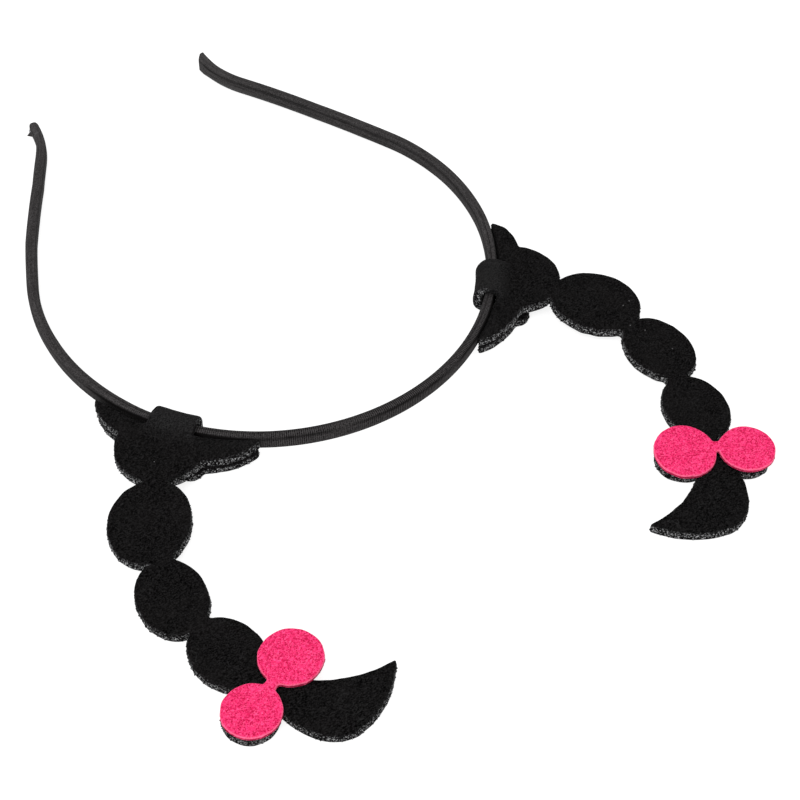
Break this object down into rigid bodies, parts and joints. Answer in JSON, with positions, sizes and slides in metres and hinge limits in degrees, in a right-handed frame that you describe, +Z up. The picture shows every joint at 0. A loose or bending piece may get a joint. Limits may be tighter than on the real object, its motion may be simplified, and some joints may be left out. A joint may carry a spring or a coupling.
{
  "type": "wig headband",
  "caption": "Thin ribbon-covered hair band in an open arch, carrying a black felt braid with a pink felt bow and a crescent tail on each side.",
  "frame": {"origin": "on the surface the headband lies on, under the middle of its box", "axes": "+Z up from the surface, +Y from the braids' tails to the band's tips, +X to the side of braid_right"},
  "size_m": [0.1668, 0.2348, 0.0089],
  "materials": {
    "satin_ribbon": "charcoal black satin ribbon, soft sheen, fine weave along the band",
    "black_felt": "thick matt black felt with a fine brushed face and a speckled grey cut edge",
    "pink_felt": "matt bright pink needled felt with fine darker flecks"
  },
  "bodies": {
    "root": {"band": "satin_ribbon", "braid_left": "black_felt", "braid_right": "black_felt", "bow_left": "pink_felt", "bow_right": "pink_felt"}
  },
  "joints": []
}
